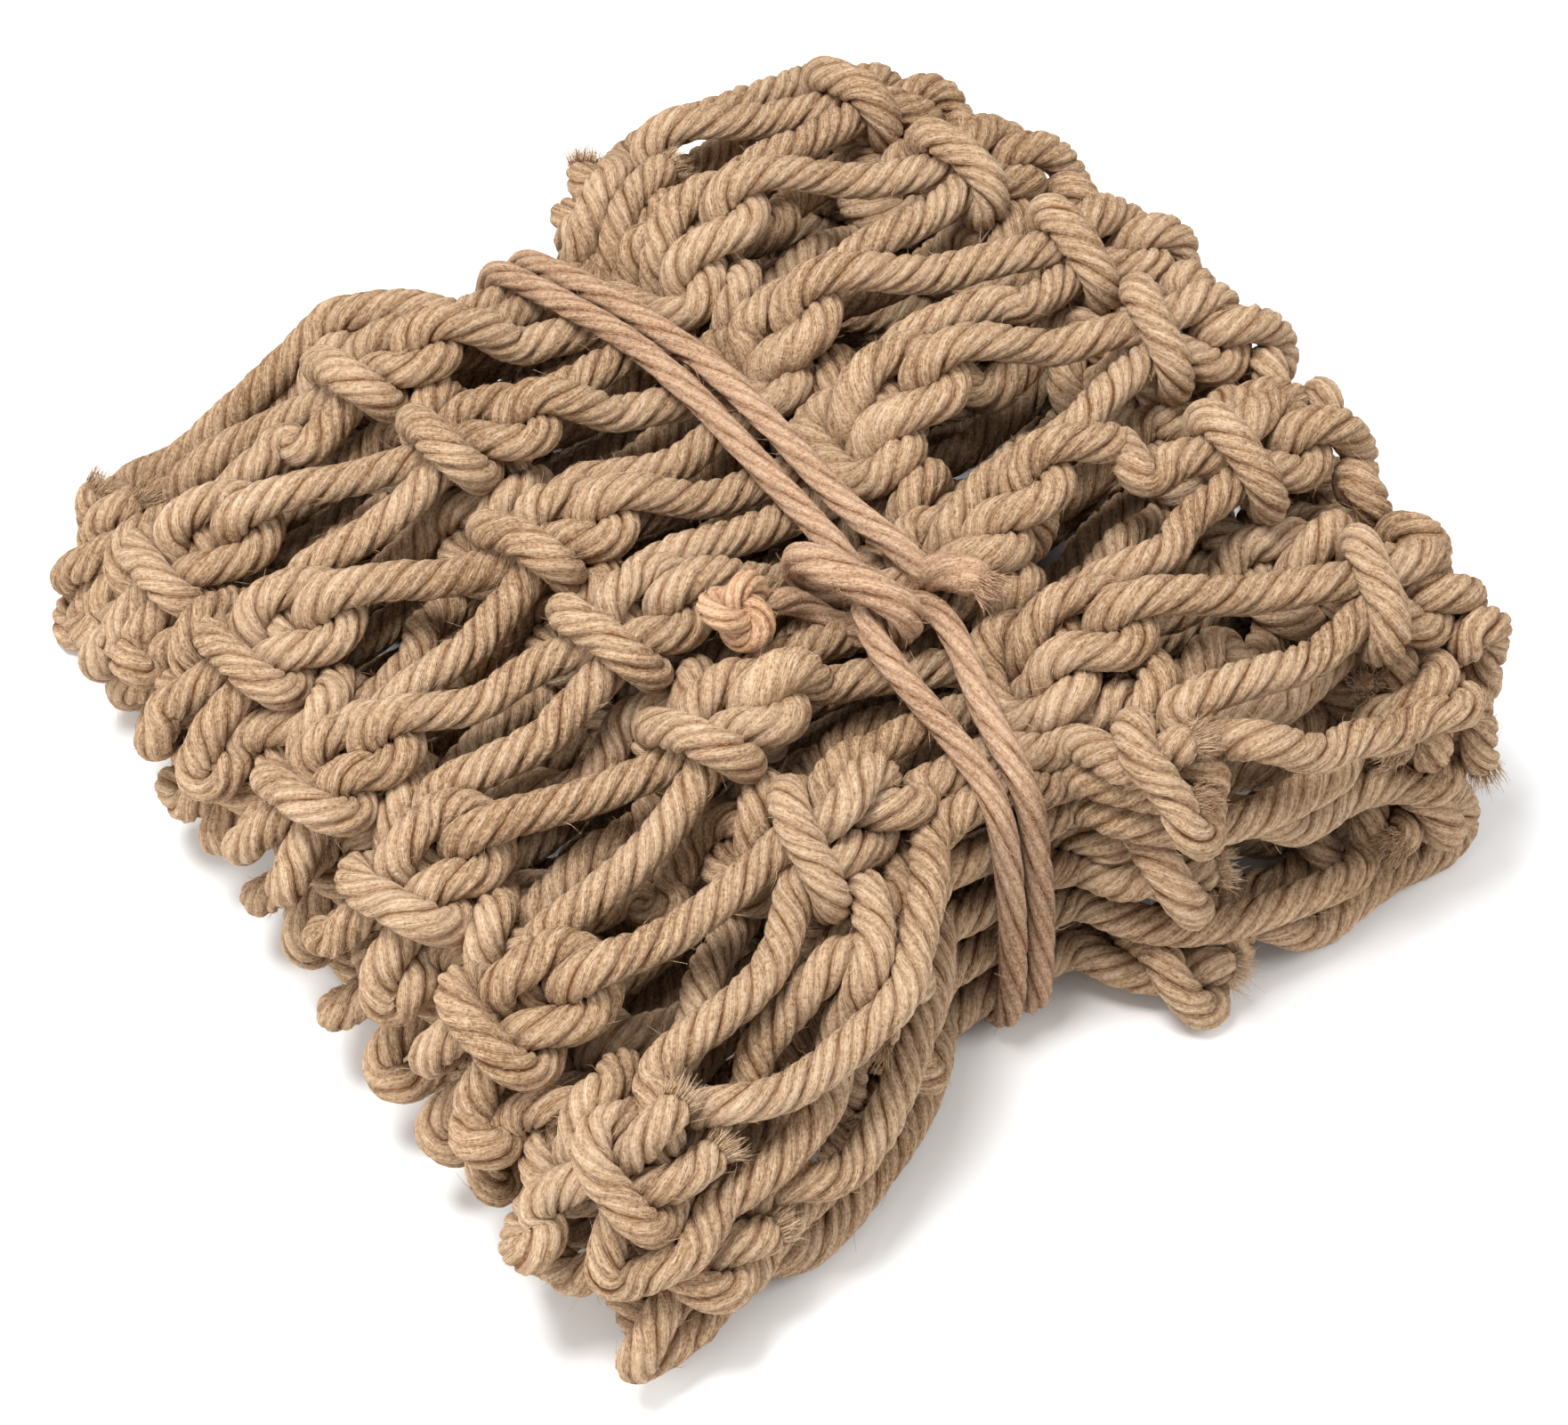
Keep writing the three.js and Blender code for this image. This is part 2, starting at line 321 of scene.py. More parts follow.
def catmull(points, per_segment):
    p = np.concatenate([2 * points[:1] - points[1:2], points, 2 * points[-1:] - points[-2:-1]])
    t = np.linspace(0, 1, per_segment, endpoint=False)[None, :, None]
    p0, p1, p2, p3 = (p[i:len(p) - 3 + i, None, :] for i in range(4))
    curve = 0.5 * (2 * p1 + (p2 - p0) * t + (2 * p0 - 5 * p1 + 4 * p2 - p3) * t ** 2
                   + (3 * p1 - p0 - 3 * p2 + p3) * t ** 3)
    return np.concatenate([curve.reshape(-1, points.shape[1]), points[-1:]])


def even(points, spacing):
    """The same curve with its points an even distance apart."""
    steps = np.linalg.norm(np.diff(points, axis=0), axis=1)
    run = np.concatenate([[0], np.cumsum(steps)])
    count = max(4, int(round(run[-1] / spacing)) + 1)
    at = np.linspace(0, run[-1], count)
    return np.stack([np.interp(at, run, points[:, i]) for i in range(3)], axis=1)


# ---------------------------------------------------------------- settling the ropes

def close_pairs(points, reach):
    """Index pairs of points nearer than reach, by sorting the points into cells."""
    cell = np.floor((points - points.min(0)) / reach).astype(np.int64) + 1
    size = cell.max(0) + 2
    stride = np.array([size[1] * size[2], size[2], 1])
    key = cell @ stride
    order = np.argsort(key, kind="stable")
    sorted_key = key[order]
    first, second = [], []
    for dx in (-1, 0, 1):
        for dy in (-1, 0, 1):
            for dz in (-1, 0, 1):
                offset = dx * stride[0] + dy * stride[1] + dz
                if offset < 0:
                    continue
                low = np.searchsorted(sorted_key, key + offset, "left")
                high = np.searchsorted(sorted_key, key + offset, "right")
                count = high - low
                owner = np.repeat(np.arange(len(points)), count)
                start = np.repeat(low - np.concatenate([[0], np.cumsum(count)[:-1]]), count)
                other = order[start + np.arange(len(owner))]
                if offset == 0:
                    keep = owner < other
                    owner, other = owner[keep], other[keep]
                first.append(owner)
                second.append(other)
    i, j = np.concatenate(first), np.concatenate(second)
    near = np.linalg.norm(points[i] - points[j], axis=1) < reach
    return i[near], j[near]


def scatter(index, values, count):
    return np.stack([np.bincount(index, values[:, k], count) for k in range(3)], axis=1)


def settle(paths):
    """Push overlapping ropes apart and let them sink and shift until they rest on each other."""
    cord = np.concatenate([np.full(len(p), i) for i, p in enumerate(paths)])
    place_in = np.concatenate([np.arange(len(p)) for p in paths])
    points = np.concatenate(paths)
    count = len(points)
    edge = np.flatnonzero(cord[1:] == cord[:-1])
    rest = np.linalg.norm(points[edge + 1] - points[edge], axis=1)
    skip = np.flatnonzero(cord[2:] == cord[:-2])
    before = points.copy()
    home = points.copy()
    for step in range(ROUNDS):
        moved = points + MOMENTUM * np.clip(points - before, -TOP_SPEED, TOP_SPEED)
        moved[:, 2] -= SINK
        moved += HOME_PULL * (home - moved) * (0.3, 0.3, 1.0)
        before, points = points, moved
        if step % 4 == 0:
            i, j = close_pairs(points, TOUCH * 1.25)
            apart = (cord[i] != cord[j]) | (np.abs(place_in[i] - place_in[j]) > 4)
            i, j = i[apart], j[apart]
        for _ in range(2):
            for parity in (0, 1):
                e = edge[(edge % 2) == parity]
                r = rest[(edge % 2) == parity]
                gap = points[e + 1] - points[e]
                length = np.linalg.norm(gap, axis=1)
                shift = gap * (0.5 * (1 - r / np.maximum(length, 1e-9)))[:, None]
                points[e] += shift
                points[e + 1] -= shift
            gap = points[skip + 2] - points[skip]
            length = np.linalg.norm(gap, axis=1)
            shift = gap * (0.25 * np.minimum(0, 1 - TIGHTEST / np.maximum(length, 1e-9)))[:, None]
            bend = scatter(skip, shift, count) - scatter(skip + 2, shift, count)
            points += bend
            middle = 0.5 * (points[skip] + points[skip + 2]) - points[skip + 1]
            points[skip + 1] += STRAIGHTEN * middle
            gap = points[j] - points[i]
            length = np.linalg.norm(gap, axis=1)
            deep = np.maximum(0, TOUCH - length)
            push = gap * (PUSH * deep / np.maximum(length, 1e-9))[:, None]
            shift = scatter(j, push, count) - scatter(i, push, count)
            points += np.clip(shift, -LARGEST_PUSH, LARGEST_PUSH)
            hold_in_shape(points)
    return np.split(points, np.cumsum([len(p) for p in paths])[:-1])


def hold_in_shape(points):
    """The ground, the tie's grip on the waist, and how far the soft lobes may spread."""
    x, y, z = points.T
    grip = 1 - smooth_step(np.abs(x - 0.002 - tie_shift(y, z)), 0.006, 0.026)
    points[:, 2] = np.maximum(z, 0.47 * ROPE + 0.0085 * grip)
    narrower = 0.014 * np.clip(points[:, 2] / 0.09, 0, 1) ** 3
    half_y = np.where(y < 0, WAIST_HALF_Y[-1], WAIST_HALF_Y[1]) - narrower
    over = np.maximum(0, np.abs(y) - half_y)
    points[:, 1] -= np.sign(y) * over * 0.8 * grip
    round_y = np.clip(np.abs(y) / 0.125, 0, 1)
    dent = 0.004 * np.exp(-(((y - KNOT_Y) / 0.020) ** 2))
    over = np.maximum(0, points[:, 2] - (WAIST_TOP - 0.020 * round_y ** 3 - dent))
    points[:, 2] -= over * 0.8 * grip
    points[:, 0] = np.clip(points[:, 0], -SPREAD, SPREAD)


# ---------------------------------------------------------------- rope meshes

def carried_frames(points):
    """Tangent and two side directions at each point, turning as little as possible."""
    tangent = np.gradient(points, axis=0)
    tangent /= np.linalg.norm(tangent, axis=1)[:, None]
    side = np.zeros_like(points)
    pick = np.eye(3)[np.argmin(np.abs(tangent[0]))]
    side[0] = pick - tangent[0] * (pick @ tangent[0])
    side[0] /= np.linalg.norm(side[0])
    for i in range(1, len(points)):
        v = side[i - 1] - tangent[i] * (side[i - 1] @ tangent[i])
        side[i] = v / np.linalg.norm(v)
    return tangent, side, np.cross(tangent, side)


def rope_section(around, strands, deep, shallow):
    """Radius factor, and groove depth for the painted groove shade, round a laid rope. Its seam lies in a
    groove.
    """
    phase = around * strands + 0.5
    main = np.abs(np.cos(math.pi * phase))
    fine = np.abs(np.cos(math.pi * (2 * phase + 0.5)))
    groove = (1 - main) ** 2.4
    minor = (1 - fine) ** 2.4
    return 1 - deep * groove - shallow * minor, np.maximum(groove, 0.6 * minor)


def streaks(shape, source):
    """Random ridges that run along the strands for a few rings."""
    grain = source.normal(0, 1, shape)
    return sum(np.roll(grain, shift, axis=0) for shift in (-2, -1, 0, 1, 2)) / math.sqrt(5)


def worn(path):
    """1 where a rope passes a place that has opened and fluffed up."""
    amount = np.zeros(len(path))
    for spot in WORN_PLACES:
        distance = np.linalg.norm(path - np.array(spot), axis=1)
        amount = np.maximum(amount, np.exp(-((distance / 0.014) ** 4)))
    return amount


def rope_skin(points, diameter, lay, spacing, source, deep=0.20, shallow=0.13, wobble=0.05):
    """A laid rope along the points: vertices, faces, UVs along the strands, and groove depth, which sets
    the painted shade in the grooves.
    """
    path = even(catmull(points, 6), spacing)
    tangent, side, other = carried_frames(path)
    rings = len(path)
    run = np.arange(rings) * spacing
    open_up = worn(path)
    swell = 1 + wobble * wavy(run, 0.05, source) + 0.6 * wobble * wavy(run, 0.012, source) + 0.13 * open_up
    twist = -run / lay + 0.12 * wavy(run, 0.06, source)
    around = np.arange(SIDES) / SIDES
    factor, groove = rope_section(around, STRANDS, deep, shallow)
    uneven = (0.75 + 0.35 * wavy(run, 0.011, source)) * (1 - 0.6 * open_up)
    factor = 1 - (1 - factor)[None, :] * uneven[:, None]
    factor += 0.022 * streaks(factor.shape, source)
    # The groove depth that sets the painted groove shade; less where the rope has opened up.
    groove = groove[None, :] * (1 - 0.7 * open_up)[:, None]
    angle = 2 * math.pi * (around[None, :] + twist[:, None])
    tip = np.minimum(np.arange(rings), np.arange(rings)[::-1]) * spacing
    taper = np.maximum(np.sqrt(np.clip(tip / (0.4 * diameter), 0.0, 1.0)), 0.35)
    radius = 0.5 * diameter * (swell * taper)[:, None] * factor
    ring = (path[:, None, :]
            + (radius * np.cos(angle))[:, :, None] * side[:, None, :]
            + (radius * np.sin(angle))[:, :, None] * other[:, None, :])
    here = np.arange(rings - 1)[:, None] * SIDES + np.arange(SIDES)[None, :]
    after = np.arange(rings - 1)[:, None] * SIDES + (np.arange(SIDES)[None, :] + 1) % SIDES
    quads = np.stack([here, after, after + SIDES, here + SIDES], axis=2).reshape(-1, 4)
    caps = np.stack([np.arange(SIDES)[::-1], (rings - 1) * SIDES + np.arange(SIDES)])
    u = np.stack([around, around + 1 / SIDES, around + 1 / SIDES, around], axis=1)
    u = np.broadcast_to(u[None], (rings - 1, SIDES, 4))
    v = run[:-1, None, None] + np.array([0, 0, spacing, spacing])[None, None, :]
    v = np.broadcast_to(v, (rings - 1, SIDES, 4)) / (math.pi * diameter)
    uv = np.stack([u.ravel(), v.ravel()], axis=1)
    skin = [(ring.reshape(-1, 3), quads, uv, groove.ravel())]
    skin.append((np.zeros((0, 3)), caps - rings * SIDES, np.zeros((2 * SIDES, 2)), np.zeros(0)))
    return skin, path, (tangent, side, other)


def hairs(roots, directions, bends, lengths, thickness, source):
    """Fine closed fibres, three-sided and bent, tapering to the tip."""
    count = len(roots)
    levels = len(HAIR_LEVELS)
    directions = directions / np.linalg.norm(directions, axis=1)[:, None]
    along = lengths[:, None, None] * (directions[:, None, :] * HAIR_LEVELS[None, :, None]
                                      + bends[:, None, :] * (HAIR_LEVELS ** 2)[None, :, None])
    middle = roots[:, None, :] + along
    pick = np.where(np.abs(directions[:, 2:3]) < 0.8, [[0.0, 0.0, 1.0]], [[1.0, 0.0, 0.0]])
    across = np.cross(directions, pick)
    across /= np.linalg.norm(across, axis=1)[:, None]
    beyond = np.cross(directions, across)
    turn = 2 * math.pi * np.arange(3) / 3
    width = thickness * (1 - 0.7 * HAIR_LEVELS)
    ring = (across[:, None, None, :] * np.cos(turn)[None, None, :, None]
            + beyond[:, None, None, :] * np.sin(turn)[None, None, :, None]) * width[None, :, None, None]
    vertices = (middle[:, :, None, :] + ring).reshape(-1, 3)
    base = 3 * levels * np.arange(count)[:, None]
    walls = np.array([[3 * k + j, 3 * k + (j + 1) % 3, 3 * k + 3 + (j + 1) % 3, 3 * k + 3 + j]
                      for k in range(levels - 1) for j in range(3)])
    quads = (base[:, :, None] + walls[None]).reshape(-1, 4)
    last = 3 * levels - 3
    caps = (base[:, :, None] + np.array([[2, 1, 0], [last, last + 1, last + 2]])[None]).reshape(-1, 3)
    tint = np.repeat(source.uniform(0, 1, (count, 2)), 4 * len(walls), axis=0)
    return [(vertices, quads, tint, np.full(len(vertices), -0.5)),
            (np.zeros((0, 3)), caps - len(vertices), np.zeros((3 * len(caps), 2)), np.zeros(0))]


def nap(path, axes, diameter, per_metre, length, lean, source):
    """Short loose fibres all over the rope."""
    tangent, side, other = axes
    run = np.linalg.norm(path[-1] - path[-2]) * len(path)
    count = int(per_metre * run)
    at = source.integers(0, len(path), count)
    turn = source.uniform(0, 2 * math.pi, count)
    out = side[at] * np.cos(turn)[:, None] + other[at] * np.sin(turn)[:, None]
    swirl = np.cross(tangent[at], out)
    roots = path[at] + out * (0.44 * diameter)
    way = np.where(source.random(count) < 0.5, 1.0, -1.0)[:, None]
    rise = source.uniform(*lean, count)[:, None]
    sideways = source.uniform(0.1, 0.9, count)[:, None]
    directions = way * tangent[at] * 0.75 - way * swirl * sideways + out * rise
    bends = source.normal(0, 0.25, (count, 3)) - 0.2 * out
    lengths = source.uniform(0.4, 1.0, count) * length
    return hairs(roots, directions, bends, lengths, HAIR_RADIUS, source)


def brush(path, axes, diameter, end, source):
    """The fibres that fan out at a cut end."""
    tangent, side, other = axes
    sign = -1.0 if end == 0 else 1.0
    turn = source.uniform(0, 2 * math.pi, BRUSH_HAIRS)
    far = np.sqrt(source.random(BRUSH_HAIRS)) * 0.42 * diameter
    out = side[end] * np.cos(turn)[:, None] + other[end] * np.sin(turn)[:, None]
    roots = path[end] - sign * tangent[end] * 0.002 + out * far[:, None]
    directions = sign * tangent[end] + out * source.uniform(0.0, 0.55, BRUSH_HAIRS)[:, None]
    bends = source.normal(0, 0.2, (BRUSH_HAIRS, 3))
    lengths = source.uniform(0.002, 0.0065, BRUSH_HAIRS)
    return hairs(roots, directions, bends, lengths, BRUSH_RADIUS, source)


def mesh_piece(name, parts, material):
    """One object from parts of (vertices, faces, UVs, groove depth for the painted groove shade)."""
    vertices = np.concatenate([part[0] for part in parts])
    vertices[:, 2] = np.maximum(vertices[:, 2], 0.0002)
    vertices[:, 0] = np.clip(vertices[:, 0], -SPREAD - 0.009, SPREAD + 0.009)
    offsets = np.cumsum([0] + [len(part[0]) for part in parts[:-1]])
    loops = np.concatenate([(part[1] + offset).ravel() for part, offset in zip(parts, offsets)])
    sizes = np.concatenate([np.full(len(part[1]), part[1].shape[1]) for part in parts])
    starts = np.concatenate([[0], np.cumsum(sizes)[:-1]])
    mesh = bpy.data.meshes.new(name)
    mesh.vertices.add(len(vertices))
    mesh.vertices.foreach_set("co", vertices.ravel().astype(np.float32))
    mesh.loops.add(len(loops))
    mesh.loops.foreach_set("vertex_index", loops.astype(np.int32))
    mesh.polygons.add(len(sizes))
    mesh.polygons.foreach_set("loop_start", starts.astype(np.int32))
    mesh.polygons.foreach_set("loop_total", sizes.astype(np.int32))
    mesh.update(calc_edges=True)
    layer = mesh.uv_layers.new(name="lay")
    uv = np.concatenate([part[2] for part in parts])
    layer.data.foreach_set("uv", uv.ravel().astype(np.float32))
    # Groove depth as an attribute, from which the material paints shade into the grooves.
    depth = mesh.attributes.new("groove", "FLOAT", "POINT")
    depth.data.foreach_set("value", np.concatenate([part[3] for part in parts]).astype(np.float32))
    mesh.polygons.foreach_set("use_smooth", np.ones(len(sizes), dtype=bool))
    mesh.materials.append(material)
    piece = bpy.data.objects.new(name, mesh)
    bpy.context.scene.collection.objects.link(piece)
    return piece


def net_piece(name, cords, material):
    """One or more whole cords of the net, with their loose fibres and frayed ends."""
    source = np.random.default_rng(seed_from(name))
    parts = []
    for points in cords:
        skin, path, axes = rope_skin(points, ROPE * 1.02, ROPE_LAY, ROPE_RINGS, source)
        parts += skin + rope_fibres(path, axes, ROPE, source)
        parts += brush(path, axes, ROPE, 0, source) + brush(path, axes, ROPE, -1, source)
    return mesh_piece(name, parts, material)


def rope_fibres(path, axes, diameter, source):
    """A dense low nap, and a few longer fibres standing off it."""
    return (nap(path, axes, diameter, 190 * diameter / 0.001, 0.0034, (0.02, 0.35), source)
            + nap(path, axes, diameter, 35 * diameter / 0.001, 0.0065, (0.3, 0.9), source))


def tie_parts(name, points, diameter=TIE, cut_ends=()):
    """The skin, the loose fibres and the centreline of a length of the tie."""
    source = np.random.default_rng(seed_from(name))
    skin, path, axes = rope_skin(points, diameter, TIE_LAY, TIE_RINGS, source, 0.17, 0.15, 0.03)
    fibres = rope_fibres(path, axes, diameter, source)
    for end in cut_ends:
        fibres += brush(path, axes, diameter, end, source)
    return skin, fibres, path


def seed_from(name):
    """A seed of each piece's own, the same in every run."""
    value = 7
    for letter in name:
        value = (value * 131 + ord(letter)) % 1000003
    return value


def wavy(run, length, source):
    """A smooth random wave along a rope, about -1 to 1."""
    knots = source.uniform(-1, 1, int(run[-1] / length) + 4)
    at = run / length
    low = np.floor(at).astype(int)
    t = at - low
    t = t * t * (3 - 2 * t)
    return knots[low] * (1 - t) + knots[low + 1] * t


# ---------------------------------------------------------------- materials

def jute(name, light, mid, dark):
    """Laid natural fibre: streaks along the strands, specks across them, and painted shade as dark lines
    in the grooves.
    """
    material = bpy.data.materials.new(name)
    material.use_nodes = True
    nodes, links = material.node_tree.nodes, material.node_tree.links
    nodes.clear()
    output = nodes.new("ShaderNodeOutputMaterial")
    shader = nodes.new("ShaderNodeBsdfPrincipled")
    shader.inputs["Roughness"].default_value = 0.92
    shader.inputs["Specular IOR Level"].default_value = 0.15
    links.new(shader.outputs[0], output.inputs[0])
    uv = nodes.new("ShaderNodeUVMap")
    uv.uv_map = "lay"
    where = nodes.new("ShaderNodeTexCoord")

    def noise(vector, scale, detail, roughness):
        node = nodes.new("ShaderNodeTexNoise")
        node.inputs["Scale"].default_value = 1.0
        node.inputs["Detail"].default_value = detail
        node.inputs["Roughness"].default_value = roughness
        stretch = nodes.new("ShaderNodeMapping")
        stretch.inputs["Scale"].default_value = scale
        links.new(vector, stretch.inputs["Vector"])
        links.new(stretch.outputs[0], node.inputs["Vector"])
        return node.outputs["Fac"]

    def math_node(operation, first, second, third=None):
        node = nodes.new("ShaderNodeMath")
        node.operation = operation
        for socket, value in zip(node.inputs, (first, second, third)):
            if isinstance(value, (int, float)):
                socket.default_value = value
            elif value is not None:
                links.new(value, socket)
        return node.outputs[0]

    yarns = noise(uv.outputs[0], (34, 4.5, 1), 4, 0.6)
    threads = noise(uv.outputs[0], (105, 17, 1), 3, 0.7)
    specks = noise(where.outputs["Object"], (1100, 1100, 1100), 3, 0.7)
    patches = noise(where.outputs["Object"], (34, 34, 34), 3, 0.5)
    groove = nodes.new("ShaderNodeAttribute")
    groove.attribute_name = "groove"

    tone = math_node("MULTIPLY", yarns, 0.28)
    tone = math_node("MULTIPLY_ADD", threads, 0.34, tone)
    tone = math_node("MULTIPLY_ADD", specks, 0.24, tone)
    tone = math_node("MULTIPLY_ADD", patches, 0.14, tone)
    ramp = nodes.new("ShaderNodeValToRGB")
    ramp.color_ramp.elements[0].position = 0.42
    ramp.color_ramp.elements[0].color = (*dark, 1)
    ramp.color_ramp.elements[1].position = 0.61
    ramp.color_ramp.elements[1].color = (*light, 1)
    middle = ramp.color_ramp.elements.new(0.505)
    middle.color = (*mid, 1)
    links.new(tone, ramp.inputs["Fac"])

    # Painted shade: where the groove attribute is high, a dark brown is multiplied into the colour, broken
    # up along the yarns.
    broken_groove_shade = math_node("MULTIPLY_ADD", yarns, 4.5, -1.55)
    line = math_node("MULTIPLY", groove.outputs["Fac"], broken_groove_shade)
    shade = nodes.new("ShaderNodeMix")
    shade.data_type = "RGBA"
    shade.blend_type = "MULTIPLY"
    shade.inputs["B"].default_value = (0.30, 0.17, 0.085, 1)
    links.new(line, shade.inputs["Factor"])
    links.new(ramp.outputs["Color"], shade.inputs["A"])
    links.new(shade.outputs["Result"], shader.inputs["Base Color"])

    height = math_node("MULTIPLY", yarns, 0.8)
    height = math_node("MULTIPLY_ADD", threads, 0.9, height)
    height = math_node("MULTIPLY_ADD", specks, 0.9, height)
    relief = nodes.new("ShaderNodeBump")
    relief.inputs["Strength"].default_value = 0.9
    relief.inputs["Distance"].default_value = 0.0011
    links.new(height, relief.inputs["Height"])
    links.new(relief.outputs[0], shader.inputs["Normal"])
    return material


net_material = jute("net_jute", (0.90, 0.71, 0.52), (0.64, 0.43, 0.26), (0.26, 0.14, 0.065))
tie_material = jute("tie_jute", (0.92, 0.68, 0.49), (0.68, 0.44, 0.28), (0.32, 0.17, 0.09))
knot_material = jute("stopper_jute", (1.0, 0.75, 0.52), (0.90, 0.57, 0.35), (0.50, 0.26, 0.13))


# ---------------------------------------------------------------- camera, light and floor

def look_at(thing, target):
    direction = Vector(target) - thing.location
    thing.rotation_euler = direction.to_track_quat("-Z", "Y").to_euler()


AZIMUTH, ELEVATION, DISTANCE, LENS = -34.0, 49.0, 1.047, 90.5
AIM = (-0.001, -0.016, 0.026)


def add_camera():
    target = Vector(AIM)
    a, e = math.radians(AZIMUTH), math.radians(ELEVATION)
    camera_data = bpy.data.cameras.new("camera")
    camera_data.lens = LENS
    camera = bpy.data.objects.new("camera", camera_data)
    back = Vector((math.sin(a) * math.cos(e), -math.cos(a) * math.cos(e), math.sin(e)))
    camera.location = target + back * DISTANCE
    look_at(camera, target)
    bpy.context.scene.collection.objects.link(camera)
    bpy.context.scene.camera = camera


def area_light(name, location, size, power, colour=(1, 1, 1)):
    data = bpy.data.lights.new(name, "AREA")
    data.shape = "DISK"
    data.size = size
    data.energy = power
    data.color = colour
    lamp = bpy.data.objects.new(name, data)
    lamp.location = location
    look_at(lamp, (0, 0, 0.03))
    bpy.context.scene.collection.objects.link(lamp)


SKY = 0.56  # how much light the white surroundings give


def white_world():
    """Surroundings that the camera sees as pure white, but that light the pack only softly."""
    world = bpy.data.worlds.new("studio")
    world.use_nodes = True
    nodes, links = world.node_tree.nodes, world.node_tree.links
    sky = nodes["Background"]
    sky.inputs[0].default_value = (1, 1, 1, 1)
    seen = nodes.new("ShaderNodeLightPath")
    brighten = nodes.new("ShaderNodeMath")
    brighten.operation = "MULTIPLY_ADD"
    brighten.inputs[1].default_value = 1 - SKY
    brighten.inputs[2].default_value = SKY
    links.new(seen.outputs["Is Camera Ray"], brighten.inputs[0])
    links.new(brighten.outputs[0], sky.inputs[1])
    bpy.context.scene.world = world


FLOOR_HALF = 6.0
FLOOR_GLOW = 0.45
GLOW_STARTS, GLOW_FULL = 0.18, 0.60  # distances from the pack's middle


def pale_floor():
    """A floor that shows the pack's shadow and fades into the white surroundings away from it."""
    material = bpy.data.materials.new("pale_floor")
    material.use_nodes = True
    nodes, links = material.node_tree.nodes, material.node_tree.links
    surface = nodes["Principled BSDF"].inputs
    surface["Base Color"].default_value = (0.92, 0.92, 0.92, 1)
    surface["Roughness"].default_value = 0.8
    surface["Emission Color"].default_value = (1, 1, 1, 1)
    seen = nodes.new("ShaderNodeLightPath")
    place_on_floor = nodes.new("ShaderNodeTexCoord")
    distance = nodes.new("ShaderNodeVectorMath")
    distance.operation = "LENGTH"
    away = nodes.new("ShaderNodeMapRange")
    away.inputs["From Min"].default_value = GLOW_STARTS
    away.inputs["From Max"].default_value = GLOW_FULL
    both = nodes.new("ShaderNodeMath")
    both.operation = "MULTIPLY"
    glow = nodes.new("ShaderNodeMath")
    glow.operation = "MULTIPLY"
    glow.inputs[1].default_value = FLOOR_GLOW
    links.new(place_on_floor.outputs["Object"], distance.inputs[0])
    links.new(distance.outputs["Value"], away.inputs["Value"])
    links.new(seen.outputs["Is Camera Ray"], both.inputs[0])
    links.new(away.outputs["Result"], both.inputs[1])
    links.new(both.outputs[0], glow.inputs[0])
    links.new(glow.outputs[0], surface["Emission Strength"])
    return material


def add_floor():
    mesh = bpy.data.meshes.new("floor")
    corners = [(x * FLOOR_HALF, y * FLOOR_HALF, 0) for x, y in ((-1, -1), (1, -1), (1, 1), (-1, 1))]
    mesh.from_pydata(corners, [], [(0, 1, 2, 3)])
    mesh.materials.append(pale_floor())
    floor = bpy.data.objects.new("floor", mesh)
    bpy.context.scene.collection.objects.link(floor)
    return floor


add_camera()
area_light("key", (-0.30, 0.10, 1.30), 0.55, 19.6)
area_light("fill", (0.9, -0.9, 1.0), 0.9, 9.0)
area_light("rim", (-1.1, -0.2, 0.6), 0.8, 6.5)
white_world()
bpy.context.scene.view_settings.view_transform = "Standard"
floor = add_floor()


# ---------------------------------------------------------------- building the net

knots = make_knots()
start_paths = [even(plump(place(catmull(net_cord(row, knots), 8))), STEP) for row in range(ROWS)]
paths = settle(start_paths)
for row in range(ROWS - 1):
    cords = paths[row:] if row == ROWS - 2 else paths[row:row + 1]
    piece = net_piece(f"net_rope_{row + 1:02d}", cords, net_material)
    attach(piece, "pack")
    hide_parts(f"mesh_cord_{row + 1:02d}")


# ---------------------------------------------------------------- the tie

def hull(points):
    """Convex outline of 2-D points, anticlockwise."""
    points = points[np.lexsort((points[:, 1], points[:, 0]))]

    def half(order):
        line = []
        for p in order:
            while len(line) > 1:
                u, v = line[-1] - line[-2], p - line[-2]
                if u[0] * v[1] - u[1] * v[0] > 0:
                    break
                line.pop()
            line.append(p)
        return line[:-1]

    return np.array(half(points) + half(points[::-1]))


def taut_loop(x, width):
    """The closed line, in y and z, that a taut cord takes round the ropes near x."""
    everything = np.concatenate(paths)
    aside = everything[:, 0] - tie_shift(everything[:, 1], everything[:, 2])
    near = everything[np.abs(aside - x) < width][:, 1:]
    reach = 0.5 * (ROPE * 0.96 + TIE)
    angles = np.linspace(0, 2 * math.pi, 24, endpoint=False)
    ring = np.stack([np.cos(angles), np.sin(angles)], axis=1) * reach
    grown = (near[:, None, :] + ring[None]).reshape(-1, 2)
    outline = hull(grown)
    outline = np.concatenate([outline, outline[:1]])
    steps = np.linalg.norm(np.diff(outline, axis=0), axis=1)
    run = np.concatenate([[0], np.cumsum(steps)])
    at = np.arange(0, run[-1], 0.004)
    return np.stack([np.interp(at, run, outline[:, i]) for i in range(2)], axis=1)


def turn_from_knot(lane):
    """One turn round the pack, starting on top at the knot and going down its -Y side."""
    loop = taut_loop(lane, 0.009)
    on_top = loop[:, 1] > loop[:, 1].mean()
    start = np.argmin(np.abs(loop[:, 0] - KNOT_Y) + np.where(on_top, 0, 9))
    loop = np.roll(loop, -start, axis=0)
    if loop[3, 0] > loop[0, 0]:
        loop = np.concatenate([loop[:1], loop[1:][::-1]])
    return loop


def bump(value, middle, width):
    return np.exp(-(((value - middle) / width) ** 2))


